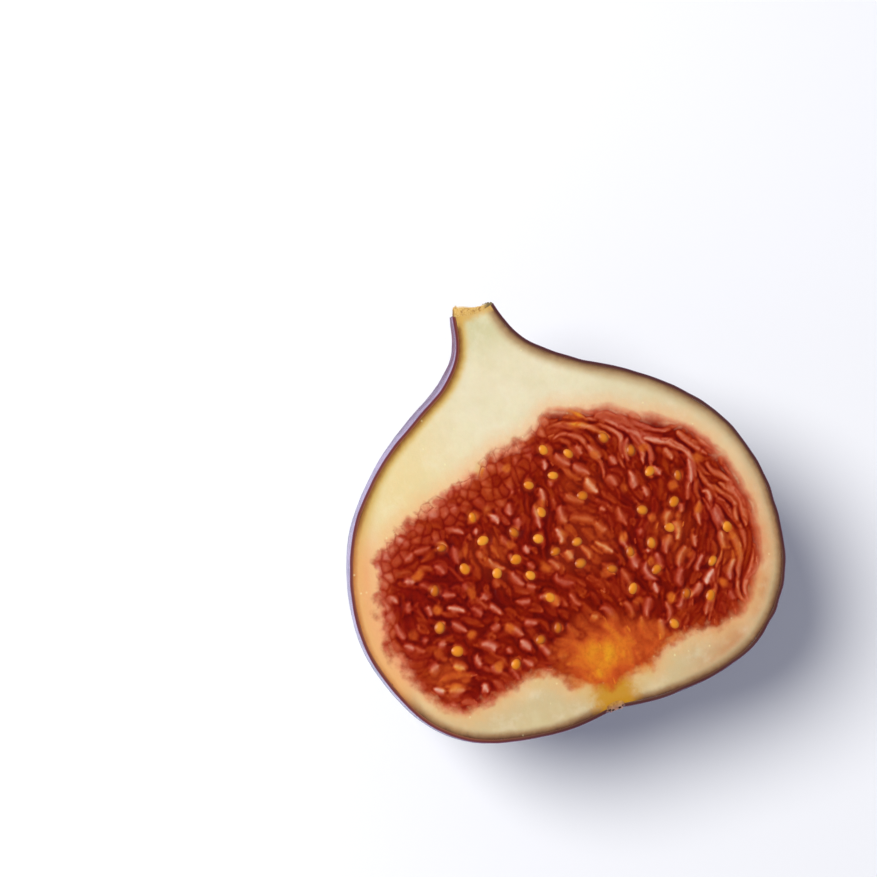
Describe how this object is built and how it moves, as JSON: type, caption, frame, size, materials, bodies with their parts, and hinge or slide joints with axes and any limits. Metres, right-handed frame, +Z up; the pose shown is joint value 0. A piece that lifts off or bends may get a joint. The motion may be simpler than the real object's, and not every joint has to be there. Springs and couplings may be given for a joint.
{
  "type": "halved fresh fig",
  "caption": "Half of a ripe dark purple fig, cut from stem to eye and lying on its back, showing pale flesh and wet red pulp full of seeds.",
  "frame": {"origin": "under the middle of the fruit's outline, on the surface it rests on", "axes": "+Z up, out of the cut face; +Y from the eye towards the stem; +X across the fruit, to the right when looking down on the cut face with the stem away from the viewer"},
  "size_m": [0.0526, 0.0506, 0.0234],
  "materials": {
    "peel": "dark purple skin under a waxy blue-grey bloom, magenta towards the neck, satin",
    "flesh": "moist cream flesh, greenish by the stem and amber inside the skin",
    "pulp": "wet translucent crimson pulp of small fibres and sacs",
    "seed": "smooth amber seed, wet"
  },
  "bodies": {
    "root": {"peel": "peel", "flesh": "flesh", "pulp": "pulp", "seed_01": "seed", "seed_02": "seed", "seed_03": "seed", "seed_04": "seed", "seed_05": "seed", "seed_06": "seed", "seed_07": "seed", "seed_08": "seed", "seed_09": "seed", "seed_10": "seed", "seed_11": "seed", "seed_12": "seed", "seed_13": "seed", "seed_14": "seed", "seed_15": "seed", "seed_16": "seed", "seed_17": "seed", "seed_18": "seed", "seed_19": "seed", "seed_20": "seed", "seed_21": "seed", "seed_22": "seed", "seed_23": "seed", "seed_24": "seed", "seed_25": "seed", "seed_26": "seed", "seed_27": "seed", "seed_28": "seed", "seed_29": "seed", "seed_30": "seed", "seed_31": "seed", "seed_32": "seed", "seed_33": "seed", "seed_34": "seed", "seed_35": "seed", "seed_36": "seed", "seed_37": "seed", "seed_38": "seed", "seed_39": "seed", "seed_40": "seed", "seed_41": "seed", "seed_42": "seed"}
  },
  "joints": []
}
